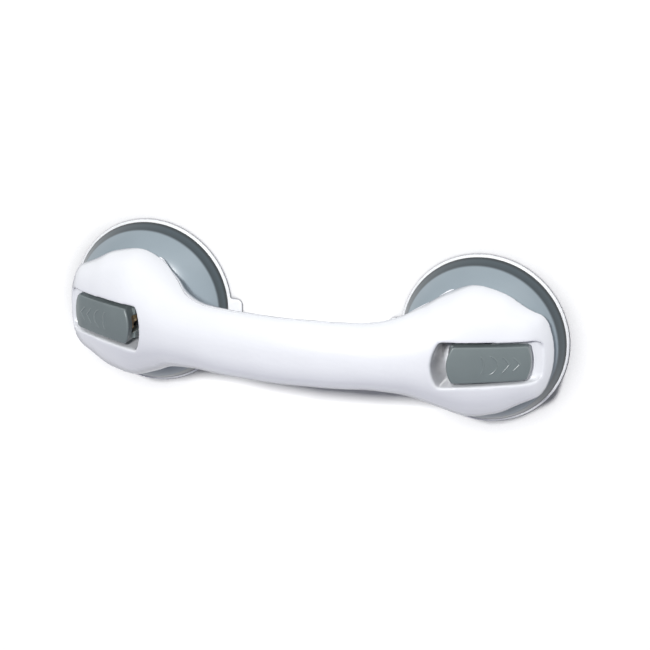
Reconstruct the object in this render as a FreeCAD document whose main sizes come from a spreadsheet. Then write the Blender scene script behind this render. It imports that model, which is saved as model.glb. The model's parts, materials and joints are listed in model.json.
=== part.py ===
import FreeCAD, Part
import math
import os
import re

import Sketcher
from FreeCAD import Placement, Rotation, Vector

# Suction grab bar for a smooth wall: a hollow two-piece handle on two lever-operated suction cups.
#
# Each piece is drawn in a working frame: +X towards the outer end of the bar, +Z away from the wall
# ("height"), Y across the bar. A placement then stands the piece on the wall plane of the model's
# own frame, where X runs along the bar, Z is up, the wall is the plane Y = 0 and the handle stands
# off towards -Y. The origin is on the wall, midway between the two cups.

DIMENSIONS = (
    ("cup_spacing", 198.5, "distance between the two cup axes"),
    # handle: front ridge, walls and parting line
    ("ridge_height", 73.5, "height of the front ridge at the middle of the bar"),
    ("ridge_fall", 457.0, "the ridge drops by x squared over this length"),
    ("wall", 2.4, "wall thickness of both handle shells"),
    ("shell_gap", 0.3, "gap between a shell and what fits inside it"),
    ("bar_half_width", 18.4, "half width of the bar at its middle"),
    ("end_half_width", 36.8, "half width of an end at the cup axis"),
    ("nose_reach", 43.4, "from the cup axis to the tip of an end"),
    ("nose_length", 10.4, "length of the rounded nose, seen from the front"),
    ("nose_half_width", 24.6, "half width where the nose begins"),
    ("nose_round", 14.0, "radius that the ridge turns through to the nose"),
    ("end_base", 20.0, "height of the open edge around a cup"),
    ("nose_base", 14.5, "height of the open edge at the nose"),
    ("bar_parting", 60.0, "height of the parting line at the middle of the bar"),
    ("bar_underside", 46.5, "height of the underside at the middle of the bar"),
    ("seat_reach", 17.0, "from the cup axis to the inner end of the back shell's seat"),
    # lever well in the front shell
    ("well_half_width", 12.7, "half width of the well at its inner end"),
    ("well_taper", 1.1, "how much narrower each side is at the outer end"),
    ("well_inner", 11.2, "from the cup axis to the well's inner corners"),
    ("well_bulge", 3.6, "how far the inner end bows beyond its corners"),
    ("well_outer", 40.2, "from the cup axis to the end of the thumb scoop"),
    ("well_wall", 1.8, "thickness of the well's walls and floor"),
    # suction disc
    ("disc_radius", 48.3, "outer radius of the rubber disc"),
    ("disc_lip", 0.9, "height of the rim's straight edge"),
    ("disc_top", 1.95, "height of the face that the plate presses on"),
    ("disc_lift", 2.6, "height of the vacuum dome under the locked disc"),
    ("disc_flat", 30.0, "inner radius of the sealing face"),
    ("tab_reach", 6.6, "how far the peel tab stands out of the rim"),
    ("tab_half_width", 6.0, "half width of the peel tab"),
    # pressure plate
    ("plate_radius", 47.0, "outer radius of the pressure plate"),
    ("plate_foot", 2.0, "height of the plate's lower edge"),
    ("crease_radius", 44.0, "radius of the crease above the skirt"),
    ("crease_height", 8.4, "height of the crease above the skirt"),
    ("plate_wall", 2.4, "wall thickness of the plate"),
    ("dome_radius", 35.5, "radius of curvature of the plate's dome"),
    ("boss_radius", 14.0, "radius of the raised seat in the middle of the plate"),
    ("boss_edge", 22.6, "height of the dome where the seat begins"),
    ("seat_height", 26.0, "height of the seat that carries the handle"),
    ("pocket_radius", 9.2, "radius of the spring pocket"),
    ("pocket_roof", 22.0, "height of the spring pocket's roof"),
    ("plate_pad", 18.3, "height of the pads under the plate for its screws"),
    # stud, core, pin and washer
    ("stud_radius", 4.0, "radius of the pull stud's shank"),
    ("stud_foot", 6.4, "radius of the stud's foot"),
    ("foot_thick", 1.2, "thickness of the stud's foot"),
    ("core_radius", 12.6, "radius of the stiff core in the disc"),
    ("core_base", 5.0, "height of the underside of the core"),
    ("core_top", 7.4, "height of the top of the core"),
    ("pin_height", 41.5, "height of the lever's pin"),
    ("pin_radius", 2.0, "radius of the lever's pin"),
    ("running_gap", 0.05, "radial clearance of each moving fit"),
    ("eye_radius", 4.6, "radius of the eye at the top of the stud"),
    ("washer_top", 31.5, "height of the face that the cams bear on"),
    ("washer_thick", 1.5, "thickness of the cam washer"),
    ("washer_radius", 11.9, "outer radius of the cam washer"),
    ("cam_travel", 2.6, "travel of the stud between locked and open"),
    # lever
    ("lever_half_width", 10.4, "half width of the lever at its inner end"),
    ("lever_taper", 0.7, "how much narrower each side is at the tip"),
    ("lever_inner", 7.1, "from the pin to the middle of the lever's inner end"),
    ("lever_reach", 34.6, "from the pin to the lever's tip"),
    ("lever_thick", 6.6, "thickness of the lever's arm"),
    ("lever_drop", 0.6, "how far the lever's face lies below the handle's form"),
    ("ear_gap", 5.0, "half the gap between the lever's two cam ears"),
    ("ear_half_width", 8.8, "from the middle of the lever to an ear's outer face"),
    ("heel", 12.5, "from the pin to where the ears end and the thin arm begins"),
    ("edge_round", 0.9, "rounding round the lever's face"),
    ("corner_round", 1.8, "rounding of the lever's corners, seen from the front"),
    ("mark_height", 0.3, "how far the direction marks stand out"),
    ("mark_line", 0.5, "width of a direction mark's line"),
    # spring and screws
    ("spring_radius", 7.6, "mean radius of the return spring"),
    ("spring_wire", 0.8, "wire radius of the return spring"),
    ("spring_coils", 5.0, "number of coils"),
    ("screw_radius", 1.5, "radius of the screws' threaded part"),
    ("head_radius", 2.8, "radius of the screw heads"),
    ("head_height", 1.8, "height of the screw heads"),
    ("plate_screw_x", 10.0, "plate screws' distance from the cup axis along the bar"),
    ("plate_screw_y", 19.5, "plate screws' distance from the cup axis across the bar"),
    ("plate_screw_tip", 32.0, "height of the plate screws' tips"),
    ("pillar_radius", 4.0, "radius of the back shell's pillars over the plate screws"),
    ("pillar_top", 35.0, "height of the top of those pillars"),
    ("bar_screw_inner", 20.0, "inner bar screws' distance from the middle"),
    ("bar_screw_outer", 48.0, "outer bar screws' distance from the middle"),
    ("bar_screw_tip", 62.0, "height of the bar screws' tips"),
    ("boss_joint", 55.0, "height where the shells' screw bosses meet"),
    ("front_boss_radius", 3.8, "radius of the front shell's screw bosses"),
    ("back_boss_radius", 4.2, "radius of the back shell's screw bosses"),
)

DOC = FreeCAD.newDocument("suction_grab_bar")
SHEET = DOC.addObject("Spreadsheet::Sheet", "Dimensions")
for row, (alias, number, meaning) in enumerate(DIMENSIONS, start=2):
    SHEET.set(f"A{row}", meaning)
    SHEET.set(f"B{row}", str(number))
    SHEET.setAlias(f"B{row}", alias)
DOC.recompute()

ALIASES = {alias for alias, _, _ in DIMENSIONS}
SUB_PARTS = []
SIDES = {"left": -1, "right": 1}


def size(expression):
    """The value of an expression in the sheet's names, in millimetres."""
    return float(SHEET.evalExpression(expression))


HALF_SPACING = size("cup_spacing / 2")
WALL = size("wall")
GAP = size("shell_gap")
THIN = 0.3
OUTWARD = Rotation(Vector(1, 0, 0), 90)
NOSE_TIP = HALF_SPACING + size("nose_reach") - 0.05
BAR_SCREWS = [side * size(place) for side in (-1, 1) for place in ("bar_screw_inner", "bar_screw_outer")]
PLATE_SCREWS = [(i * size("plate_screw_x"), j * size("plate_screw_y")) for i in (-1, 1) for j in (-1, 1)]
CAM_RATE = size("cam_travel") / (math.pi / 2)


# ---------------------------------------------------------------- placing and keeping pieces

def on_wall():
    """Stands the working frame of the whole bar on the wall."""
    return Placement(Vector(0, 0, 0), OUTWARD)


def on_cup(side):
    """Stands a cup's working frame on the wall, its +X towards that end of the bar."""
    turn = Rotation(Vector(0, 0, 1), 0 if SIDES[side] > 0 else 180)
    return Placement(Vector(SIDES[side] * HALF_SPACING, 0, 0), OUTWARD.multiply(turn))


def keep(piece, label, placement):
    """Names a finished piece, puts it in place and lists it for export."""
    piece.Label = label
    piece.Placement = placement
    SUB_PARTS.append(piece)


def feature(label, shape, placement):
    """Keeps a shape made with Part's functions, wherever it was moved to in its working frame."""
    piece = DOC.addObject("Part::Feature", label)
    piece.Shape = shape
    keep(piece, label, placement.multiply(shape.Placement))


def qualified(expression):
    """The expression with each of the sheet's names made absolute."""
    def absolute(word):
        return f"Dimensions.{word[0]}" if word[0] in ALIASES else word[0]

    return re.sub(r"[a-z_]+", absolute, expression)


def bind(piece, **expressions):
    """Binds properties of an object to expressions in the sheet's names."""
    for name, expression in expressions.items():
        piece.setExpression(name, qualified(expression))


def move(piece, x="0", y="0", z="0"):
    """Binds where an object stands to expressions in the sheet's names."""
    for axis, expression in zip("xyz", (x, y, z)):
        piece.setExpression(f"Placement.Base.{axis}", f"({qualified(expression)}) * 1 mm")
    return piece


def cylinder(name, radius, height, x="0", y="0", z="0"):
    """An upright cylinder whose size and foot are bound to the sheet."""
    solid = DOC.addObject("Part::Cylinder", name)
    bind(solid, Radius=radius, Height=height)
    return move(solid, x, y, z)


def crossbar(name, radius, half_length, z):
    """A cylinder across the bar, centred on the cup axis at a height bound to the sheet."""
    solid = DOC.addObject("Part::Cylinder", name)
    bind(solid, Radius=radius, Height=f"2 * ({half_length})")
    solid.Placement.Rotation = Rotation(Vector(1, 0, 0), -90)
    return move(solid, "0", f"0 - ({half_length})", z)


def block(name, length, width, height, x, y, z):
    """A box whose size and low corner are bound to the sheet."""
    solid = DOC.addObject("Part::Box", name)
    bind(solid, Length=length, Width=width, Height=height)
    return move(solid, x, y, z)


def cut(name, base, tool):
    result = DOC.addObject("Part::Cut", name)
    result.Base = base
    result.Tool = tool
    return result


def fuse(name, pieces):
    result = DOC.addObject("Part::MultiFuse", name)
    result.Shapes = pieces
    return result


# ---------------------------------------------------------------- turned pieces

def arc_middle(start, end, radius):
    """The middle of the arc from start to end: it bows to the left of its chord, or to the right
    if the radius is negative."""
    chord = end - start
    rise = abs(radius) - math.sqrt(radius ** 2 - (chord.Length / 2) ** 2)
    left = Vector(-chord.y, chord.x, 0).normalize()
    return start + chord * 0.5 + left * math.copysign(rise, radius)


def turned(name, outline):
    """A body turned about Z from a closed outline.

    Each corner is (radius, height), in expressions of the sheet's names. A third entry is the
    radius of the arc that leads from this corner to the next, bowing as arc_middle says.
    """
    body = DOC.addObject("PartDesign::Body", name)
    sketch = body.newObject("Sketcher::SketchObject", f"{name}_outline")
    plane = next(f for f in body.Origin.OriginFeatures if f.Role == "XZ_Plane")
    sketch.AttachmentSupport = [(plane, "")]
    sketch.MapMode = "FlatFace"
    corners = [Vector(size(c[0]), size(c[1]), 0) for c in outline]
    for here, there, corner in zip(corners, corners[1:] + corners[:1], outline):
        if len(corner) > 2:
            middle = arc_middle(here, there, size(corner[2]))
            sketch.addGeometry(Part.Arc(here, middle, there), False)
        else:
            sketch.addGeometry(Part.LineSegment(here, there), False)
    for i in range(len(outline)):
        start, end = edge_ends(sketch, i, corners[i])
        following = (i + 1) % len(outline)
        next_start, _ = edge_ends(sketch, following, corners[following])
        sketch.addConstraint(Sketcher.Constraint("Coincident", i, end, following, next_start))
        place_corner(sketch, i, start, outline[i])
        if len(outline[i]) > 2:
            radius = f"abs({outline[i][2]})"
            number = sketch.addConstraint(Sketcher.Constraint("Radius", i, size(radius)))
            sketch.setExpression(f"Constraints[{number}]", qualified(radius))
    turn = body.newObject("PartDesign::Revolution", f"{name}_turn")
    turn.Profile = sketch
    turn.ReferenceAxis = (sketch, ["V_Axis"])
    turn.Angle = 360
    body.Tip = turn
    return body


def edge_ends(sketch, index, corner):
    """Sketcher's numbers for an edge's first and last point along the outline."""
    starts_here = sketch.getPoint(index, 1).distanceToPoint(corner) < 1e-6
    return (1, 2) if starts_here else (2, 1)


def place_corner(sketch, index, point, corner):
    """Holds one corner at its radius and height."""
    for kind, axis, expression in (("DistanceX", -2, corner[0]), ("DistanceY", -1, corner[1])):
        if abs(size(expression)) < 1e-9:
            sketch.addConstraint(Sketcher.Constraint("PointOnObject", index, point, axis))
            continue
        distance = Sketcher.Constraint(kind, -1, 1, index, point, size(expression))
        number = sketch.addConstraint(distance)
        sketch.setExpression(f"Constraints[{number}]", qualified(expression))


# ---------------------------------------------------------------- outlines of the handle

def through(points, x):
    """The smooth curve through the points, which never overshoots them, read at x."""
    slopes = [(q[1] - p[1]) / (q[0] - p[0]) for p, q in zip(points, points[1:])]
    inner = [0 if a * b <= 0 else 2 * a * b / (a + b) for a, b in zip(slopes, slopes[1:])]
    tangents = [slopes[0]] + inner + [slopes[-1]]
    i = sum(x > point[0] for point in points[1:-1])
    (x0, y0), (x1, y1) = points[i], points[i + 1]
    span = x1 - x0
    u = (x - x0) / span
    start = (2 * u ** 3 - 3 * u ** 2 + 1) * y0 + (u ** 3 - 2 * u ** 2 + u) * span * tangents[i]
    end = (3 * u ** 2 - 2 * u ** 3) * y1 + (u ** 3 - u ** 2) * span * tangents[i + 1]
    return start + end


# Distances along the bar are counted from the cup axis, positive towards the nose.
PLAN = (
    (-HALF_SPACING, size("bar_half_width")),
    (-53.0, size("bar_half_width")),
    (-41.0, 19.9),
    (-28.0, 24.8),
    (-15.0, 32.0),
    (0.0, size("end_half_width")),
    (14.5, 34.2),
    (25.0, 28.9),
    (size("nose_reach - nose_length"), size("nose_half_width")),
)
PARTING = (
    (-HALF_SPACING, size("bar_parting")),
    (-68.0, 57.0),
    (-48.0, 50.5),
    (-38.0, 44.0),
    (-28.0, 32.0),
    (-18.0, 23.5),
    (-8.0, size("end_base")),
    (30.0, size("end_base")),
    (size("nose_reach"), size("nose_base")),
)
UNDERSIDE = (
    (-HALF_SPACING, size("bar_underside")),
    (-70.0, 44.0),
    (-50.0, 36.8),
    (-34.0, 26.6),
    (-22.0, 20.6),
    (-10.0, size("end_base") - 0.6),
)


def along(x):
    """Distance from the nearer cup axis, positive towards the nose."""
    return abs(x) - HALF_SPACING


def ridge(x):
    """Height of the front ridge before the nose is rounded off."""
    return size("ridge_height") - x * x / size("ridge_fall")


def half_width(x, inset):
    start = size("nose_reach - nose_length")
    if along(x) <= start:
        return through(PLAN, along(x)) - inset
    share = (along(x) - start) / (size("nose_length") - inset)
    return (size("nose_half_width") - inset) * math.sqrt(max(0, 1 - share ** 2))


def crown(x, inset):
    """Height of the front surface on the centre line, with the turn to the nose."""
    radius = size("nose_round") - inset
    over = max(0, along(x) - size("nose_reach - nose_round"))
    return ridge(x) - inset - radius + math.sqrt(max(0, radius ** 2 - over ** 2))


def fullness(x):
    """Exponent of the cross-section: 2 is an ellipse, more is squarer."""
    return through(((-HALF_SPACING, 2.3), (-45.0, 2.2), (-10.0, 2.25), (45.0, 2.4)), along(x))


def stations(tip):
    """Section positions from tip to tip, closer together towards the noses."""
    nose_start = HALF_SPACING + 30.0
    right = [0.0, 15.0, 30.0, 42.0]
    right += [50.0 + (nose_start - 50.0) * i / 13 for i in range(14)]
    right += [nose_start + (tip - nose_start) * math.sin(math.radians(a)) for a in (20, 40, 57, 72, 83, 90)]
    return [-x for x in reversed(right[1:])] + right


def arch(x, half, base, top, power):
    """A full-bellied arch across the bar, from the -Y side over the top to the +Y side."""
    steps = 14
    points = []
    for i in range(steps + 1):
        angle = math.pi * i / steps
        across = math.copysign(abs(math.cos(angle)) ** (2 / power), -math.cos(angle))
        rise = abs(math.sin(angle)) ** (2 / power)
        points.append(Vector(x, half * across, base + (top - base) * rise))
    curve = Part.BSplineCurve()
    curve.interpolate(points)
    return curve.toShape(), points[0], points[-1]


def front_arch(x, inset):
    base = through(PARTING, along(x))
    return arch(x, half_width(x, inset), base, crown(x, inset), fullness(x))


def belly_arch(x, inset):
    """The rounded underside of the bar: an arch that hangs from the parting line."""
    base = through(PARTING, along(x))
    depth = max(base - through(UNDERSIDE, along(x)) - inset, THIN)
    return arch(x, half_width(x, inset), base, base - depth, 2.0)


def closed_wire(curve, start, end, floor=None):
    """Closes an arch with a straight base, at its own ends or down at a floor height."""
    corners = [end, start]
    if floor is not None:
        corners = [end, Vector(end.x, end.y, floor), Vector(start.x, start.y, floor), start]
    return Part.Wire([curve] + [Part.makeLine(p, q) for p, q in zip(corners, corners[1:])])


def wall_wire(outer, inner):
    """The section of a wall between an outer and an inner arch."""
    (outside, a, b), (inside, c, d) = outer, inner
    return Part.Wire([outside, Part.makeLine(b, d), inside, Part.makeLine(c, a)])


def loft(wires):
    return Part.makeLoft(wires, True, False)


def front_form(inset, positions, floor=None):
    """The handle's outer form as a solid, shrunk by the inset, over part of its length."""
    return loft([closed_wire(*front_arch(x, inset), floor) for x in positions])


def slab(low, high, half_length=160.0, half_depth=60.0):
    """A wide block between two heights."""
    block = Part.makeBox(2 * half_length, 2 * half_depth, high - low)
    block.translate(Vector(-half_length, -half_depth, low))
    return block


def both_ends(shape):
    """Copies a shape drawn about the right cup's axis to both ends of the bar."""
    right = shape.copy()
    right.translate(Vector(HALF_SPACING, 0, 0))
    left = right.copy()
    left.rotate(Vector(0, 0, 0), Vector(0, 0, 1), 180)
    return [left, right]


def post(x, y, radius, low, high):
    return Part.makeCylinder(radius, high - low, Vector(x, y, low))


# ---------------------------------------------------------------- lever well

def well_plan(margin, low, high):
    """The well's plan outline as a prism: bowed inner end, slightly tapering sides, rounded nose."""
    inner = -size("well_inner") - margin
    outer = size("well_outer") + margin
    wide = size("well_half_width") + margin
    narrow = wide - size("well_taper")
    corner = 6.0 + margin
    bow = size("well_bulge")
    inner_arc = Part.Arc(Vector(inner, wide, low), Vector(inner - bow, 0, low), Vector(inner, -wide, low))
    turn = corner * math.sin(math.radians(45))
    centre = outer - corner
    lower = Vector(centre, -narrow, low)
    upper = Vector(centre, narrow, low)
    lower_end = Vector(outer, -narrow + corner, low)
    upper_end = Vector(outer, narrow - corner, low)
    lower_mid = Vector(centre + turn, -narrow + corner - turn, low)
    upper_mid = Vector(centre + turn, narrow - corner + turn, low)
    edges = [
        inner_arc.toShape(),
        Part.makeLine(Vector(inner, -wide, low), lower),
        Part.Arc(lower, lower_mid, lower_end).toShape(),
        Part.makeLine(lower_end, upper_end),
        Part.Arc(upper_end, upper_mid, upper).toShape(),
        Part.makeLine(upper, Vector(inner, wide, low)),
    ]
    return Part.Face(Part.Wire(edges)).extrude(Vector(0, 0, high - low))


def well_side(drop):
    """The well seen from the side, as a slab across the bar: deep at the cams, a floor under the
    lever's arm, and a scoop that rises to the surface beyond the tip."""
    start, arm_end, lip = size("heel") + 0.5, size("lever_reach") - 1.6, size("well_outer")
    clearance = 1.8
    depth = size("lever_thick + lever_drop") + clearance + drop
    along_floor = (start, (start + arm_end) / 2, arm_end)
    floor = [Vector(a, 0, crown(HALF_SPACING + a, 0) - depth) for a in along_floor]
    lip_point = Vector(lip, 0, crown(HALF_SPACING + lip, 0) - drop)
    scoop_mid = Vector((arm_end + lip) / 2, 0, (floor[-1].z + lip_point.z) / 2 - 0.5)
    far, top = -24.0, 90.0
    base = size("washer_top - washer_thick") - drop
    edges = [
        Part.makeLine(Vector(far, 0, top), Vector(far, 0, base)),
        Part.makeLine(Vector(far, 0, base), Vector(start, 0, base)),
        Part.makeLine(Vector(start, 0, base), floor[0]),
        Part.Arc(floor[0], floor[1], floor[2]).toShape(),
        Part.Arc(floor[2], scoop_mid, lip_point).toShape(),
        Part.makeLine(lip_point, Vector(lip, 0, top)),
        Part.makeLine(Vector(lip, 0, top), Vector(far, 0, top)),
    ]
    prism = Part.Face(Part.Wire(edges)).extrude(Vector(0, 40, 0))
    prism.translate(Vector(0, -20, 0))
    return prism


# ---------------------------------------------------------------- handle shells

def front_shell():
    """The moulded front: an arched skin, open towards the wall, with a lever well at each end."""
    inner_tip = NOSE_TIP - WALL - 0.1
    joint, boss, drill = size("boss_joint"), size("front_boss_radius"), size("screw_radius")
    skin = loft([wall_wire(front_arch(x, 0), front_arch(x, WALL)) for x in stations(inner_tip)])
    tips = []
    for end in SIDES.values():
        shares = (0, 0.35, 0.65, 0.85, 1.0)
        positions = sorted(end * (inner_tip + (NOSE_TIP - inner_tip) * share) for share in shares)
        tips.append(front_form(0, positions))
    skin = skin.fuse(tips)
    wells = both_ends(well_plan(size("well_wall"), 20, 70).common(well_side(size("well_wall"))))
    bosses = [post(x, 0, boss, joint, 90) for x in BAR_SCREWS]
    middle_of_skin = front_form(WALL / 2, stations(NOSE_TIP - WALL / 2), 5.0)
    skin = skin.fuse([piece.common(middle_of_skin) for piece in wells + bosses])
    spaces = both_ends(well_plan(0, 20, 90).common(well_side(0)))
    drills = [post(x, 0, drill, joint - 1, size("bar_screw_tip") + 2) for x in BAR_SCREWS]
    drills += both_ends(post(0, 0, size("stud_radius") + 1.0, 0, 60))
    return skin.cut(spaces + drills)


def end_seat():
    """The right end of the back shell: a seat inside the front shell that stands on the plate."""
    fit = WALL + GAP
    start = HALF_SPACING - size("seat_reach")
    low, roof, top = size("plate_foot") + 4.0, size("seat_height"), size("washer_top - washer_thick")
    outside = [x for x in stations(NOSE_TIP - fit) if x > start]
    inside = [x for x in stations(NOSE_TIP - fit - WALL) if x > start + WALL]
    seat = front_form(fit, outside, low).common(slab(low, top))
    seat = seat.cut(front_form(fit + WALL, inside, low - 1.0).common(slab(low - 1.0, roof)))
    pillar, pillar_top = size("pillar_radius"), size("pillar_top")
    pad = size("plate_pad")
    seat = seat.fuse([post(HALF_SPACING + x, y, pillar, pad, pillar_top) for x, y in PLATE_SCREWS])
    bay = well_plan(size("well_wall") + GAP, 16, 60).common(well_side(size("well_wall") + GAP))
    bay.translate(Vector(HALF_SPACING, 0, 0))
    tools = [bay, post(HALF_SPACING, 0, size("stud_radius") + 1.0, 0, 60)]
    tools += [post(HALF_SPACING + x, y, size("screw_radius"), 0, pillar_top - 1.5) for x, y in PLATE_SCREWS]
    return seat.cut(tools)


def back_shell():
    """The back of the bar with a seat at each end, which stands on the pressure plate."""
    belly_end = HALF_SPACING - 12.0
    positions = [x for x in stations(NOSE_TIP) if abs(x) < belly_end]
    bar = loft([wall_wire(belly_arch(x, 0), belly_arch(x, WALL)) for x in positions])
    seat = end_seat()
    other = seat.copy()
    other.rotate(Vector(0, 0, 0), Vector(0, 0, 1), 180)
    boss, joint = size("back_boss_radius"), size("boss_joint")
    posts = [post(x, 0, boss, inside_belly(x, boss), joint) for x in BAR_SCREWS]
    shell = bar.fuse([seat, other] + posts)
    drills = both_ends(plate_form(GAP))
    for x in BAR_SCREWS:
        neck = inside_belly(x, size("head_radius")) + size("head_height")
        drills.append(post(x, 0, size("screw_radius") + 0.1, 0, joint + 1))
        drills.append(post(x, 0, size("head_radius") + 0.2, 0, neck))
    return shell.cut(drills)


def inside_belly(x, reach):
    """The height just inside the underside, everywhere within a reach along the bar."""
    return max(through(UNDERSIDE, along(abs(x) + step)) for step in (-reach, reach)) + 0.6


def screw(x, y, face, tip):
    """A pan-head screw that points away from the wall, with a cross recess in its head."""
    neck = face + size("head_height")
    body = post(x, y, size("head_radius"), face, neck).fuse(post(x, y, size("screw_radius"), neck, tip))
    slot_length, slot_width, slot_depth = 3.0, 0.7, 0.9
    for length, width in ((slot_length, slot_width), (slot_width, slot_length)):
        slot = Part.makeBox(length, width, slot_depth, Vector(x - length / 2, y - width / 2, face))
        body = body.cut(slot)
    return body


def bar_screws():
    head, tip = size("head_radius"), size("bar_screw_tip")
    return Part.makeCompound([screw(x, 0, inside_belly(x, head), tip) for x in BAR_SCREWS])


# ---------------------------------------------------------------- suction cup

# The plate's outer face, from its seat down to its foot.
PLATE_OUTER = (
    ("boss_radius", "seat_height"),
    ("boss_radius", "boss_edge", "dome_radius"),
    ("crease_radius", "crease_height"),
    ("plate_radius", "plate_foot"),
)


def plate_form(margin):
    """The plate's outer form as a solid of revolution, grown by the margin."""
    seat, edge, crease, foot = [Vector(size(c[0]) + margin, size(c[1]) + margin, 0) for c in PLATE_OUTER]
    bow = arc_middle(edge, crease, size("dome_radius") + margin)
    axis_low, axis_high = Vector(0, 0, 0), Vector(0, seat.y, 0)
    below = Vector(foot.x, 0, 0)
    edges = [Part.makeLine(axis_low, axis_high), Part.makeLine(axis_high, seat), Part.makeLine(seat, edge)]
    edges += [Part.Arc(edge, bow, crease).toShape(), Part.makeLine(crease, foot)]
    edges += [Part.makeLine(foot, below), Part.makeLine(below, axis_low)]
    face = Part.Face(Part.Wire(edges))
    face.rotate(Vector(0, 0, 0), Vector(1, 0, 0), 90)
    return face.revolve(Vector(0, 0, 0), Vector(0, 0, 1), 360)


def pressure_plate(side):
    """The plate that presses the disc's rim on the wall and carries the handle."""
    pocket_rim = "boss_edge - plate_wall - 6"
    body = turned(f"{side}_plate_body", (("stud_radius + running_gap", "seat_height"),) + PLATE_OUTER + (
        ("plate_radius - plate_wall", "plate_foot"),
        ("crease_radius - plate_wall", "crease_height - plate_wall * 0.6", "plate_wall - dome_radius"),
        ("pocket_radius + 2", "boss_edge - plate_wall"),
        ("pocket_radius + 2", pocket_rim),
        ("pocket_radius", pocket_rim),
        ("pocket_radius", "pocket_roof"),
        ("stud_radius + running_gap", "pocket_roof"),
    ))
    pads, holes = [], []
    for i in (-1, 1):
        for j in (-1, 1):
            place = (f"{i} * plate_screw_x", f"{j} * plate_screw_y")
            tag = f"{side}_plate_{i + 1}{j + 1}"
            pads.append(cylinder(f"{tag}_pad", "head_radius + 1.2", "2", *place, "plate_pad"))
            holes.append(cylinder(f"{tag}_hole", "screw_radius + 0.1", "20", *place, "plate_pad - 5"))
    solid = fuse(f"{side}_plate_solid", [body] + pads)
    plate = cut(f"{side}_plate", solid, fuse(f"{side}_plate_holes", holes))
    keep(plate, f"{side}_pressure_plate", on_cup(side))


def plate_screws(side):
    face = size("plate_pad - head_height")
    shape = Part.makeCompound([screw(x, y, face, size("plate_screw_tip")) for x, y in PLATE_SCREWS])
    feature(f"{side}_plate_screws", shape, on_cup(side))


def suction_disc(side):
    """The rubber disc in its locked shape, with a vacuum dome under its middle and a peel tab."""
    body = turned(f"{side}_disc_body", (
        ("0", "disc_lift"),
        ("0", "core_base"),
        ("core_radius", "core_base"),
        ("core_radius", "core_top - 0.2"),
        ("core_radius + 1.6", "core_top - 0.2", "6"),
        ("core_radius + 6", "core_top - 2.2"),
        ("disc_flat + 4", "disc_top + 0.9"),
        ("plate_radius - plate_wall - 1", "disc_top"),
        ("plate_radius + 0.2", "disc_top", "1.4"),
        ("disc_radius", "disc_lip"),
        ("disc_radius", "0"),
        ("disc_flat", "0", "70"),
        ("stud_foot + 6", "disc_lift"),
    ))
    reach, inner, corner = "disc_radius + tab_reach", "plate_radius", "3"
    thick = "disc_lip + 0.3"
    tab = [
        block(f"{side}_tab_root", f"{reach} - {inner} - {corner}", "2 * tab_half_width", thick,
              f"{corner} - ({reach})", "0 - tab_half_width", "0"),
        block(f"{side}_tab_end", corner, f"2 * tab_half_width - 2 * {corner}", thick,
              f"0 - ({reach})", f"{corner} - tab_half_width", "0"),
    ]
    for sign in (-1, 1):
        tab.append(cylinder(f"{side}_tab_corner_{sign + 1}", corner, thick,
                            f"{corner} - ({reach})", f"{sign} * (tab_half_width - {corner})", "0"))
    keep(fuse(f"{side}_disc", [body] + tab), f"{side}_suction_disc", on_cup(side))


def disc_core(side):
    """The stiff core moulded into the middle of the disc, around the stud's foot."""
    core = turned(f"{side}_core_body", (
        ("stud_foot", "core_base"),
        ("stud_foot", "core_base + foot_thick"),
        ("stud_radius", "core_base + foot_thick"),
        ("stud_radius", "core_top + 1.4"),
        ("stud_radius + 2", "core_top + 1.4"),
        ("stud_radius + 2", "core_top"),
        ("core_radius", "core_top"),
        ("core_radius", "core_base"),
    ))
    keep(core, f"{side}_disc_core", on_cup(side))


def pull_stud(side):
    """The stud that pulls the disc's middle off the wall: foot, shank and eye."""
    shank_length = "pin_height - core_base - eye_radius / 2"
    solid = fuse(f"{side}_stud_solid", [
        cylinder(f"{side}_stud_foot", "stud_foot", "foot_thick", z="core_base"),
        cylinder(f"{side}_stud_shank", "stud_radius", shank_length, z="core_base"),
        crossbar(f"{side}_stud_eye", "eye_radius", "stud_radius - 0.2", "pin_height"),
    ])
    hole = crossbar(f"{side}_stud_hole", "pin_radius", "stud_radius + 1", "pin_height")
    keep(cut(f"{side}_stud", solid, hole), f"{side}_pull_stud", on_cup(side))


def pivot_pin(side):
    pin = DOC.addObject("Part::Chamfer", f"{side}_pin")
    pin.Base = crossbar(f"{side}_pin_rod", "pin_radius", "lever_half_width - 0.8", "pin_height")
    end_rounding = 0.3
    pin.Edges = [(edge, end_rounding, end_rounding) for edge in (1, 3)]
    keep(pin, f"{side}_pivot_pin", on_cup(side))


def cam_washer(side):
    ring = cylinder(f"{side}_washer_disc", "washer_radius", "washer_thick", z="washer_top - washer_thick")
    hole_base = "washer_top - washer_thick - 1"
    hole = cylinder(f"{side}_washer_hole", "stud_radius + 1", "washer_thick + 2", z=hole_base)
    keep(cut(f"{side}_washer", ring, hole), f"{side}_cam_washer", on_cup(side))


def return_spring(side):
    """A compression spring between the disc's core and the roof of the plate's pocket."""
    wire = size("spring_wire")
    low = size("core_top") + wire + 0.05
    height = size("pocket_roof") - wire - 0.05 - low
    path = Part.makeHelix(height / size("spring_coils"), height, size("spring_radius"))
    section = Part.Wire(Part.makeCircle(wire, Vector(size("spring_radius"), 0, 0), Vector(0, 1, 0)))
    coil = Part.Wire(path).makePipeShell([section], True, True)
    coil.translate(Vector(0, 0, low))
    feature(f"{side}_return_spring", coil, on_cup(side))


# ---------------------------------------------------------------- lever

def across(edges, half):
    """A prism across the bar from an outline in the XZ plane."""
    prism = Part.Face(Part.Wire(edges)).extrude(Vector(0, 2 * half, 0))
    prism.translate(Vector(0, -half, 0))
    return prism


def lever_top(along_lever):
    """Height of the middle of the lever's face."""
    return crown(HALF_SPACING + along_lever, size("lever_drop"))


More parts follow.
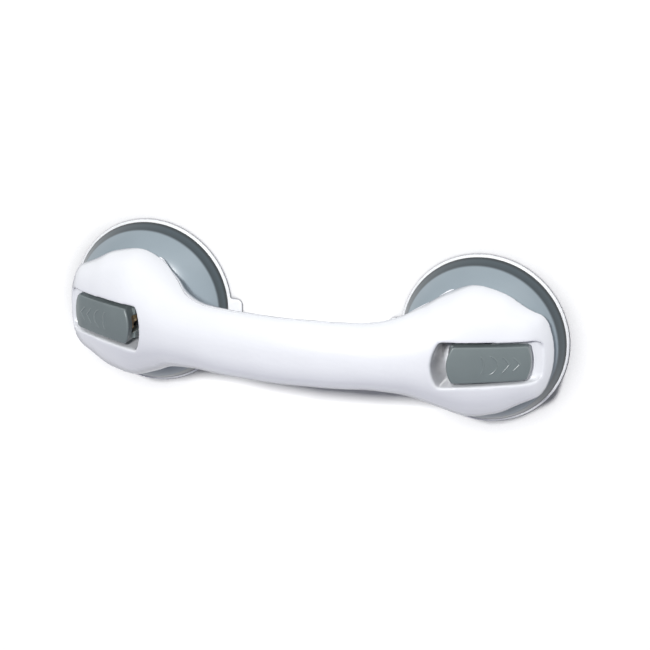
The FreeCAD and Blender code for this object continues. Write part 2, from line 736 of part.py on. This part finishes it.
def face_form(inset):
    """The handle's form over one cup, shrunk by the inset and drawn about the cup's axis."""
    start, end, steps = -12.0, size("lever_reach") + 3.0, 12
    shares = [math.sin(math.radians(90 * i / steps)) for i in range(steps + 1)]
    form = front_form(inset, [HALF_SPACING + start + (end - start) * share for share in shares])
    form.translate(Vector(-HALF_SPACING, 0, 0))
    return form


def arm_side():
    """The lever's arm seen from the side, open upwards: it thins slightly towards a rounded tip."""
    inner, tip, top = -size("lever_inner") - 1.0, size("lever_reach") + 1.0, 80.0
    heel, end = size("heel"), tip - 2.5
    middle = (heel + end) / 2
    thick = size("lever_thick") * 1.1
    under_inner = Vector(inner, 0, size("pin_height") + 2)
    under_start = Vector(heel, 0, lever_top(heel) - thick)
    under_middle = Vector(middle, 0, lever_top(middle) - thick)
    under_end = Vector(end, 0, lever_top(end) - thick + 1.2)
    tip_low = Vector(tip, 0, under_end.z + 2.0)
    edges = [
        Part.makeLine(Vector(inner, 0, top), Vector(tip, 0, top)),
        Part.makeLine(Vector(tip, 0, top), tip_low),
        Part.makeLine(tip_low, under_end),
        Part.Arc(under_end, under_middle, under_start).toShape(),
        Part.makeLine(under_start, under_inner),
        Part.makeLine(under_inner, Vector(inner, 0, top)),
    ]
    return across(edges, 20)


def cam_ears():
    """The cam seen from the side. The distance from the pin to the washer falls evenly as the lever
    turns, so the working edge is an involute; its inner face lies flat on the washer when open."""
    reach = size("pin_height - washer_top - running_gap")
    points = []
    for step in range(7):
        turn = math.pi / 2 * step / 6
        hold = reach - CAM_RATE * turn
        points.append((CAM_RATE * math.cos(turn) - hold * math.sin(turn),
                       -CAM_RATE * math.sin(turn) - hold * math.cos(turn)))
    edge = [Vector(a, 0, size("pin_height") + b) for a, b in points]
    cam = Part.BSplineCurve()
    cam.interpolate(edge)
    heel = Vector(size("heel"), 0, lever_top(size("heel")) - size("lever_thick"))
    heel_middle = Vector(heel.x * 0.66, 0, edge[0].z + 2.4)
    upper_heel = Vector(heel.x, 0, size("pin_height") + 1)
    upper_inner = Vector(edge[-1].x, 0, size("pin_height") + 3)
    edges = [
        cam.toShape(),
        Part.makeLine(edge[-1], upper_inner),
        Part.makeLine(upper_inner, upper_heel),
        Part.makeLine(upper_heel, heel),
        Part.Arc(heel, heel_middle, edge[0]).toShape(),
    ]
    return across(edges, size("ear_half_width"))


def lever_plan():
    """The lever seen from the front: gently tapered with bowed ends."""
    wide = size("lever_half_width")
    narrow = wide - size("lever_taper")
    inner, tip = -size("lever_inner"), size("lever_reach")
    inner_corner, tip_corner = inner + 2.7, tip - 2.2
    low = size("washer_top") - 5
    a, b = Vector(inner_corner, wide, low), Vector(inner_corner, -wide, low)
    c, d = Vector(tip_corner, -narrow, low), Vector(tip_corner, narrow, low)
    edges = [
        Part.Arc(a, Vector(inner, 0, low), b).toShape(),
        Part.makeLine(b, c),
        Part.Arc(c, Vector(tip, 0, low), d).toShape(),
        Part.makeLine(d, a),
    ]
    prism = Part.Face(Part.Wire(edges)).extrude(Vector(0, 0, 60))
    upright = [e for e in prism.Edges if abs(e.BoundBox.ZLength - 60) < 0.1 and e.BoundBox.XLength < 0.1]
    return prism.makeFillet(size("corner_round"), upright)


def bowed_mark(tip, half, sweep):
    """The outline of a direction mark bent in an arc: its tip, half its height and its depth."""
    low, high = Vector(tip - sweep, -half, 20), Vector(tip - sweep, half, 20)
    front = Part.Arc(low, Vector(tip, 0, 20), high).toShape()
    back = front.copy()
    back.translate(Vector(-size("mark_line"), 0, 0))
    ends = [Part.makeLine(p.Point, q.Point) for p, q in zip(front.Vertexes, back.Vertexes)]
    return Part.Wire(Part.sortEdges([front, back] + ends)[0])


def pointed_mark(tip, half, sweep):
    """The outline of a direction mark bent to a point: its tip, half its height and its depth."""
    front = [Vector(tip - sweep, -half, 20), Vector(tip, 0, 20), Vector(tip - sweep, half, 20)]
    back = [point - Vector(size("mark_line"), 0, 0) for point in reversed(front)]
    return Part.makePolygon(front + back + front[:1])


def direction_marks():
    """Four raised marks that point to the lever's tip, the inner two bowed and the outer two pointed."""
    outlines = [
        bowed_mark(12.2, 5.0, 1.4),
        bowed_mark(18.9, 5.2, 3.6),
        pointed_mark(24.9, 4.3, 3.2),
        pointed_mark(30.0, 3.7, 3.2),
    ]
    lifted = face_form(size("lever_drop - mark_height"))
    arm = arm_side()
    marks = [Part.Face(outline).extrude(Vector(0, 0, 40)) for outline in outlines]
    return [mark.common(lifted).common(arm) for mark in marks]


def lever():
    arm = lever_plan().common(arm_side()).common(face_form(size("lever_drop")))
    arm = arm.makeFillet(size("edge_round"), [edge for edge in arm.Edges if on_face(edge)])
    centre = size("pin_height")
    room = size("eye_radius") + 0.5
    far = 20.0
    slot = [(-far, -far), (room, -far), (room, room), (0, room), (-far, 9.0)]
    slot_edges = Part.makePolygon([Vector(a, 0, centre + b) for a, b in slot + slot[:1]]).Edges
    slot_space = across(slot_edges, size("ear_gap"))
    body = arm.fuse(cam_ears()).cut(slot_space)
    bore_radius = size("pin_radius + running_gap")
    bore = Part.makeCylinder(bore_radius, 2 * far, Vector(0, -far, centre), Vector(0, 1, 0))
    body = body.cut(bore)
    return body.fuse(direction_marks())


def on_face(edge):
    """Whether an edge of the lever lies on its face."""
    middle = edge.valueAt((edge.FirstParameter + edge.LastParameter) / 2)
    points = [v.Point for v in edge.Vertexes] + [middle]
    return all(abs(p.z - face_height(p.x, p.y)) < 0.15 for p in points)


def face_height(along_lever, aside):
    """Height of the lever's crowned face at a point of its plan."""
    x, inset = HALF_SPACING + along_lever, size("lever_drop")
    base, power = through(PARTING, along_lever), fullness(x)
    rise = (1 - (abs(aside) / half_width(x, inset)) ** power) ** (1 / power)
    return base + (crown(x, inset) - base) * rise


# ---------------------------------------------------------------- the assembly

feature("front_shell", front_shell(), on_wall())
feature("back_shell", back_shell(), on_wall())
feature("back_shell_screws", bar_screws(), on_wall())
LEVER = lever()
for cup in SIDES:
    suction_disc(cup)
    disc_core(cup)
    pressure_plate(cup)
    plate_screws(cup)
    return_spring(cup)
    pull_stud(cup)
    pivot_pin(cup)
    cam_washer(cup)
    feature(f"{cup}_lever", LEVER, on_cup(cup))

DOC.recompute()
for item in DOC.Objects:
    if any(word in ("Invalid", "Error") for word in item.State):
        raise SystemExit(f"{item.Name} ({item.Label}) failed: {item.State}")
for piece in SUB_PARTS:
    if piece.Shape.isNull() or not piece.Shape.isValid():
        raise SystemExit(f"{piece.Label} has no valid shape")

os.makedirs("parts", exist_ok=True)
for piece in SUB_PARTS:
    piece.Shape.exportStep(f"parts/{piece.Label}.step")
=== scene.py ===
import json
import math

import bpy
import numpy as np
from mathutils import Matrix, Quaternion, Vector


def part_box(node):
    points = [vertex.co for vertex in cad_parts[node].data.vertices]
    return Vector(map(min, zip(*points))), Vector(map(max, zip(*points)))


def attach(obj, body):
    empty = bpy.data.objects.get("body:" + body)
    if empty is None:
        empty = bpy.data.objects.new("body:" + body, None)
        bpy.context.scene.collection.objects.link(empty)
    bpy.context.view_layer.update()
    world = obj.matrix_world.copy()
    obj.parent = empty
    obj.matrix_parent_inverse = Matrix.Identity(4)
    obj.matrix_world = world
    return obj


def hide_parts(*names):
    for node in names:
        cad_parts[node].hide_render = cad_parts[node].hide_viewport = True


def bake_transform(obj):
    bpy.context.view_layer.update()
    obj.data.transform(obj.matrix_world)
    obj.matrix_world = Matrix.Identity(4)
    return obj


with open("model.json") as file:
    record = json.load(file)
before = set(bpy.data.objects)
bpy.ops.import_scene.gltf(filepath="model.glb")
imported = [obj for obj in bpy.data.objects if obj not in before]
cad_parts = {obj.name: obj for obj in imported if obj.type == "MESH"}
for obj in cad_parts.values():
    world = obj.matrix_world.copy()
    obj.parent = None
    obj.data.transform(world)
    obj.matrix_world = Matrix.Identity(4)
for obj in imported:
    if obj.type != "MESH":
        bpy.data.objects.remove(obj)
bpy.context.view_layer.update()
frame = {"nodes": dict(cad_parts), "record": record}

MM = 0.001
SIDES = ("left", "right")
HALF_SPACING = (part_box("right_cam_washer")[0].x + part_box("right_cam_washer")[1].x) / 2
RIM_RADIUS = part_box("right_suction_disc")[1].z
WHITE = (1.0, 1.0, 1.0)


# ---------------------------------------------------------------- node helpers

def new_material(name):
    material = bpy.data.materials.new(name)
    material.use_nodes = True
    tree = material.node_tree
    return material, tree, tree.nodes["Principled BSDF"]


def add(tree, kind, **inputs):
    """A node with some of its inputs set, by name."""
    node = tree.nodes.new(kind)
    for name, value in inputs.items():
        node.inputs[name.replace("_", " ")].default_value = value
    return node


def math_node(tree, operation, *values):
    node = tree.nodes.new("ShaderNodeMath")
    node.operation = operation
    for socket, value in zip(node.inputs, values):
        if isinstance(value, (int, float)):
            socket.default_value = value
        else:
            tree.links.new(value, socket)
    return node.outputs[0]


def ramp(tree, factor, stops):
    """A colour ramp over (position, colour) stops."""
    node = tree.nodes.new("ShaderNodeValToRGB")
    elements = node.color_ramp.elements
    while len(elements) < len(stops):
        elements.new(0.5)
    for element, (position, colour) in zip(elements, stops):
        element.position = position
        element.color = colour if len(colour) == 4 else (*colour, 1.0)
    tree.links.new(factor, node.inputs[0])
    return node.outputs[0]


def noise(tree, vector, scale, detail=3.0, roughness=0.5):
    node = add(tree, "ShaderNodeTexNoise", Scale=scale, Detail=detail, Roughness=roughness)
    tree.links.new(vector, node.inputs["Vector"])
    return node.outputs["Fac"]


def bump(tree, shader, height, strength, distance):
    node = add(tree, "ShaderNodeBump", Strength=strength, Distance=distance)
    tree.links.new(height, node.inputs["Height"])
    tree.links.new(node.outputs[0], shader.inputs["Normal"])


def object_place(tree):
    return tree.nodes.new("ShaderNodeTexCoord").outputs["Object"]


def varied(tree, shader, place, colour, spread, scale, rough, rough_spread):
    """Gives a moulded surface slight cloudy changes of colour and gloss."""
    cloud = noise(tree, place, scale)
    dark = tuple(c * (1 - spread) for c in colour)
    tree.links.new(ramp(tree, cloud, ((0.35, dark), (0.65, colour))), shader.inputs["Base Color"])
    fine = noise(tree, place, scale * 6)
    matt = math_node(tree, "MULTIPLY_ADD", fine, 2 * rough_spread, rough - rough_spread)
    tree.links.new(matt, shader.inputs["Roughness"])


def tint(tree, shader, factor, stops):
    """Multiplies the base colour by a colour ramp over the factor."""
    mix = tree.nodes.new("ShaderNodeMix")
    mix.data_type = "RGBA"
    mix.blend_type = "MULTIPLY"
    factor_socket, first, second = (mix.inputs[i] for i in (0, 6, 7))
    factor_socket.default_value = 1.0
    tree.links.new(shader.inputs["Base Color"].links[0].from_socket, first)
    tree.links.new(ramp(tree, factor, stops), second)
    tree.links.new(mix.outputs[2], shader.inputs["Base Color"])


# ---------------------------------------------------------------- materials

def white_abs():
    """Glossy white moulding, with painted shade that darkens it slightly where it turns away from the
    eye.
    """
    material, tree, shader = new_material("white_abs")
    place = object_place(tree)
    varied(tree, shader, place, (0.87, 0.88, 0.91), 0.02, 40, 0.24, 0.04)
    facing = add(tree, "ShaderNodeLayerWeight", Blend=0.5).outputs["Facing"]
    # painted shade: the base colour darkens towards the outline and on faces turned away from the eye
    tint(tree, shader, facing, ((0.66, WHITE), (0.86, (0.42, 0.43, 0.46))))
    shader.inputs["Coat Weight"].default_value = 0.25
    shader.inputs["Coat Roughness"].default_value = 0.25
    bump(tree, shader, noise(tree, place, 900, 2), 0.03, 0.0002)
    return material


def cup_radius(tree, place):
    """Distance from the nearer cup axis, as a share of the disc's rim radius."""
    split = tree.nodes.new("ShaderNodeSeparateXYZ")
    tree.links.new(place, split.inputs[0])
    aside = math_node(tree, "ABSOLUTE", split.outputs["X"])
    aside = math_node(tree, "SUBTRACT", aside, HALF_SPACING)
    square = math_node(tree, "POWER", math_node(tree, "ABSOLUTE", aside), 2.0)
    high = math_node(tree, "POWER", math_node(tree, "ABSOLUTE", split.outputs["Z"]), 2.0)
    radius = math_node(tree, "SQRT", math_node(tree, "ADD", square, high))
    return math_node(tree, "DIVIDE", radius, RIM_RADIUS)


def plate_grey():
    """Glossy grey, with a darker skirt band that is partly its own tone and partly painted shade, and
    painted shade as dark rings where the skirt meets the dome and at the outer rim.
    """
    material, tree, shader = new_material("plate_grey")
    place = object_place(tree)
    varied(tree, shader, place, (0.3, 0.355, 0.39), 0.05, 30, 0.3, 0.04)
    # painted shade: dark rings where the skirt meets the dome and at the outer rim; the skirt's darker
    # grey is partly its own tone and partly painted shade
    dome, crease_shade = (0.9, WHITE), (0.915, (0.1, 0.125, 0.135))
    skirt, edge = (0.95, (0.17, 0.21, 0.225)), (0.965, (0.06, 0.07, 0.07))
    tint(tree, shader, cup_radius(tree, place), (dome, crease_shade, skirt, edge))
    shader.inputs["Coat Weight"].default_value = 0.3
    shader.inputs["Coat Roughness"].default_value = 0.16
    bump(tree, shader, noise(tree, place, 700, 2), 0.03, 0.0002)
    return material


def lever_grey():
    material, tree, shader = new_material("lever_grey")
    place = object_place(tree)
    varied(tree, shader, place, (0.2, 0.235, 0.235), 0.06, 60, 0.34, 0.05)
    shader.inputs["Coat Weight"].default_value = 0.2
    shader.inputs["Coat Roughness"].default_value = 0.2
    bump(tree, shader, noise(tree, place, 2500, 3), 0.12, 0.0001)
    return material


def clear_rubber():
    material, tree, shader = new_material("clear_rubber")
    place = object_place(tree)
    varied(tree, shader, place, (0.9, 0.91, 0.92), 0.03, 50, 0.4, 0.05)
    shader.inputs["Subsurface Weight"].default_value = 0.5
    shader.inputs["Subsurface Radius"].default_value = (0.004, 0.004, 0.004)
    bump(tree, shader, noise(tree, place, 1200, 2), 0.05, 0.0002)
    return material


def core_plastic():
    material, tree, shader = new_material("core_plastic")
    place = object_place(tree)
    varied(tree, shader, place, (0.55, 0.56, 0.57), 0.06, 60, 0.5, 0.06)
    bump(tree, shader, noise(tree, place, 1500, 3), 0.1, 0.0002)
    return material


def metal(name, colour, rough):
    material, tree, shader = new_material(name)
    place = object_place(tree)
    varied(tree, shader, place, colour, 0.15, 120, rough, 0.08)
    shader.inputs["Metallic"].default_value = 1.0
    lines = add(tree, "ShaderNodeTexWave", Scale=600.0, Distortion=3.0, Detail=2.0)
    tree.links.new(place, lines.inputs["Vector"])
    bump(tree, shader, lines.outputs["Fac"], 0.05, 0.0001)
    return material


MATERIALS = {
    "white_abs": white_abs(),
    "plate_grey": plate_grey(),
    "lever_grey": lever_grey(),
    "clear_rubber": clear_rubber(),
    "core_plastic": core_plastic(),
    "steel": metal("steel", (0.6, 0.6, 0.61), 0.3),
    "spring_steel": metal("spring_steel", (0.45, 0.45, 0.47), 0.25),
    "brass": metal("brass", (0.6, 0.42, 0.2), 0.32),
}
SLOTS = {part["node"]: part["material_slot"] for part in frame["record"]["subparts"]}


def finish_node(node):
    """Gives a CAD node its procedural material."""
    piece = frame["nodes"][node]
    piece.data.materials.clear()
    piece.data.materials.append(MATERIALS[SLOTS[node]])


def soft_copy(node, name, voxel, passes):
    """A separate mesh in a CAD node's place; a voxel size above 0 also rounds its corners."""
    mesh = frame["nodes"][node].data.copy()
    piece = bpy.data.objects.new(name, mesh)
    bpy.context.scene.collection.objects.link(piece)
    if voxel:
        soften(piece, voxel, passes)
        apply_modifiers(piece)
    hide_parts(node)
    return piece


def soften(piece, voxel, passes):
    """Rounds a piece's corners with modifiers: closed seams, an even mesh, then smoothing."""
    weld = piece.modifiers.new("close_seams", "WELD")
    weld.merge_threshold = 0.02 * MM
    remesh = piece.modifiers.new("even_mesh", "REMESH")
    remesh.mode = "VOXEL"
    remesh.voxel_size = voxel
    remesh.use_smooth_shade = True
    smooth = piece.modifiers.new("round_corners", "SMOOTH")
    smooth.factor = 0.5
    smooth.iterations = passes


def ease(piece, share_at, passes):
    """Rounds a mesh further, each point by the share (0 to 1) that share_at gives for its place."""
    mesh = piece.data
    points = np.empty(3 * len(mesh.vertices))
    mesh.vertices.foreach_get("co", points)
    points = points.reshape(-1, 3)
    ends = np.empty(2 * len(mesh.edges), dtype=np.int64)
    mesh.edges.foreach_get("vertices", ends)
    here = np.concatenate((ends[0::2], ends[1::2]))
    there = np.concatenate((ends[1::2], ends[0::2]))
    neighbours = np.maximum(np.bincount(here, minlength=len(points)), 1)
    share = share_at(points)
    for _ in range(passes):
        for axis in range(3):
            total = np.bincount(here, weights=points[there, axis], minlength=len(points))
            points[:, axis] += 0.5 * share * (total / neighbours - points[:, axis])
    mesh.vertices.foreach_set("co", points.ravel())
    mesh.update()


def well_rim(points):
    """1 on the outline of the lever wells, seen from the front, falling to 0 a few millimetres away."""
    along = np.abs(points[:, 0]) - HALF_SPACING
    aside = np.abs(points[:, 2])
    inner, outer, half_width, reach = -14.5 * MM, 40.0 * MM, 12.3 * MM, 4.5 * MM
    middle, half_length = (inner + outer) / 2, (outer - inner) / 2
    beyond = np.maximum(np.abs(along - middle) - half_length, aside - half_width)
    return np.clip(1.3 - np.abs(beyond) / reach, 0, 1)


def apply_modifiers(piece):
    """Makes a piece's modifiers part of its mesh."""
    graph = bpy.context.evaluated_depsgraph_get()
    finished = bpy.data.meshes.new_from_object(piece.evaluated_get(graph))
    piece.modifiers.clear()
    piece.data = finished


def front_casing():
    """The front shell with the rims of its lever wells rounded further than the rest."""
    casing = soft_copy("front_shell", "front_casing", voxel=0.5 * MM, passes=4)
    ease(casing, well_rim, passes=24)
    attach(casing, "handle")


def rubber_disc(side):
    """The suction disc, copied with its corners rounded and its place baked into its mesh."""
    disc = soft_copy(f"{side}_suction_disc", f"{side}_rubber_disc", voxel=0.45 * MM, passes=4)
    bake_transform(disc)


def coil_spring(side):
    """The return spring, which is held by the washer's seat at one end and the stud at the other."""
    spring = soft_copy(f"{side}_return_spring", f"{side}_coil_spring", voxel=0, passes=0)
    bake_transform(spring)


for name in frame["nodes"]:
    finish_node(name)
front_casing()
for side in SIDES:
    soften(frame["nodes"][f"{side}_lever"], 0.2 * MM, 3)
    rubber_disc(side)
    coil_spring(side)


# ---------------------------------------------------------------- stage, light and camera

def pale_stage():
    """Matt white with painted shadow that darkens it close to whatever stands on it."""
    material, tree, shader = new_material("pale_stage")
    shader.inputs["Roughness"].default_value = 0.9
    shader.inputs["Specular IOR Level"].default_value = 0.0
    nearness = add(tree, "ShaderNodeAmbientOcclusion", Distance=30 * MM)
    nearness.samples = 8
    # painted shadow: the wall's colour darkens where nearby parts occlude it
    shade = ramp(tree, nearness.outputs["AO"], ((0.4, (0.14, 0.14, 0.15)), (0.96, (0.57, 0.57, 0.57))))
    tree.links.new(shade, shader.inputs["Base Color"])
    return material


def one_sided(material):
    """Lets the camera see through the back of the wall, so that the object shows from behind."""
    tree = material.node_tree
    shader = tree.nodes["Principled BSDF"]
    output = next(n for n in tree.nodes if n.type == "OUTPUT_MATERIAL")
    clear = tree.nodes.new("ShaderNodeBsdfTransparent")
    mix = tree.nodes.new("ShaderNodeMixShader")
    geometry = tree.nodes.new("ShaderNodeNewGeometry")
    tree.links.new(geometry.outputs["Backfacing"], mix.inputs[0])
    tree.links.new(shader.outputs[0], mix.inputs[1])
    tree.links.new(clear.outputs[0], mix.inputs[2])
    tree.links.new(mix.outputs[0], output.inputs["Surface"])


def sheet(name, corners, material):
    """A flat backdrop that only the camera sees."""
    mesh = bpy.data.meshes.new(name)
    mesh.from_pydata(corners, [], [(0, 1, 2, 3)])
    mesh.materials.append(material)
    sheet_object = bpy.data.objects.new(name, mesh)
    bpy.context.scene.collection.objects.link(sheet_object)
    sheet_object.visible_diffuse = False
    sheet_object.visible_glossy = False
    sheet_object.visible_shadow = False
    return sheet_object


def pale_floor():
    material, _, shader = new_material("pale_floor")
    shader.inputs["Base Color"].default_value = (0.6, 0.6, 0.6, 1)
    shader.inputs["Emission Color"].default_value = (0.9, 0.92, 0.95, 1)
    shader.inputs["Emission Strength"].default_value = 0.75
    return material


def stage():
    """The wall that the bar hangs on, just behind its rims, and a floor below."""
    far, low, behind = 4.0, -0.6, 0.6 * MM
    wall_corners = [(-far, behind, low), (far, behind, low), (far, behind, far), (-far, behind, far)]
    floor_corners = [(-far, -far, low), (far, -far, low), (far, far, low), (-far, far, low)]
    pale = pale_stage()
    one_sided(pale)
    return sheet("wall", wall_corners, pale), sheet("floor", floor_corners, pale_floor())


def lit_group(name, members, state):
    """A collection that a light either reaches alone (INCLUDE) or leaves out (EXCLUDE)."""
    group = bpy.data.collections.new(name)
    for member in members:
        group.objects.link(member)
    for entry in group.collection_objects:
        entry.light_linking.link_state = state
    return group


def area_light(name, place, size, power, group=None):
    """A square light that faces the object."""
    data = bpy.data.lights.new(name, "AREA")
    data.size = size
    data.energy = power
    lamp = bpy.data.objects.new(name, data)
    lamp.location = place
    lamp.rotation_euler = (-place).to_track_quat("-Z", "Y").to_euler()
    lamp.light_linking.receiver_collection = group
    bpy.context.scene.collection.objects.link(lamp)


def lights(backdrop):
    """A soft key a little above the camera and well to its left, a stronger light that reaches only the
    backdrop, and a large dim box high on the right."""
    object_only = lit_group("not_backdrop", backdrop, "EXCLUDE")
    backdrop_only = lit_group("only_backdrop", backdrop, "INCLUDE")
    area_light("key", towards(6.0, 22.9) * 2.0, size=0.2, power=31, group=object_only)
    area_light("backdrop_key", towards(-4.0, 22.4) * 2.0, size=0.2, power=77, group=backdrop_only)
    area_light("right_box", towards(52, 47) * 1.2, size=0.6, power=0.8)


def room():
    """What surrounds the object: brighter above than below, bright on the wall's side, and pale
    where the camera sees it directly."""
    world = bpy.data.worlds.new("studio")
    world.use_nodes = True
    tree = world.node_tree
    direction = tree.nodes.new("ShaderNodeTexCoord").outputs["Generated"]
    split = tree.nodes.new("ShaderNodeSeparateXYZ")
    tree.links.new(direction, split.inputs[0])
    height = math_node(tree, "MULTIPLY_ADD", split.outputs["Z"], 0.5, 0.5)
    sky = ramp(tree, height, ((0.2, (0.105, 0.105, 0.18)), (0.75, (0.36, 0.37, 0.38))))
    behind = math_node(tree, "GREATER_THAN", split.outputs["Y"], 0.0)
    lit = either(tree, behind, sky, (0.95, 0.96, 0.98, 1.0))
    seen = tree.nodes.new("ShaderNodeLightPath").outputs["Is Camera Ray"]
    shown = either(tree, seen, lit, (0.93, 0.935, 0.945, 1.0))
    tree.links.new(shown, tree.nodes["Background"].inputs["Color"])
    bpy.context.scene.world = world


def either(tree, chosen, first, second):
    """The first colour, or the second one where chosen is 1."""
    mix = tree.nodes.new("ShaderNodeMix")
    mix.data_type = "RGBA"
    factor_socket, first_socket, second_socket = (mix.inputs[i] for i in (0, 6, 7))
    tree.links.new(chosen, factor_socket)
    tree.links.new(first, first_socket)
    second_socket.default_value = second
    return mix.outputs[2]


def towards(azimuth, elevation):
    """Unit vector from the object towards an observer, with angles in degrees."""
    a, e = math.radians(azimuth), math.radians(elevation)
    return Vector((math.sin(a) * math.cos(e), -math.cos(a) * math.cos(e), math.sin(e)))


def camera():
    """A long lens a little to the right of the bar and above it, turned half a degree about its axis."""
    distance, roll = 1.356, 0.54
    back = towards(18.9, 18.14)
    data = bpy.data.cameras.new("camera")
    data.lens = 132.4
    data.shift_x = 0.0146
    data.shift_y = -0.0104
    view = bpy.data.objects.new("camera", data)
    view.location = back * distance
    view.rotation_mode = "QUATERNION"
    level = (-back).to_track_quat("-Z", "Y")
    view.rotation_quaternion = level @ Quaternion((0, 0, 1), math.radians(roll))
    bpy.context.scene.collection.objects.link(view)
    bpy.context.scene.camera = view


lights(stage())
room()
camera()
bpy.context.scene.view_settings.view_transform = "Standard"
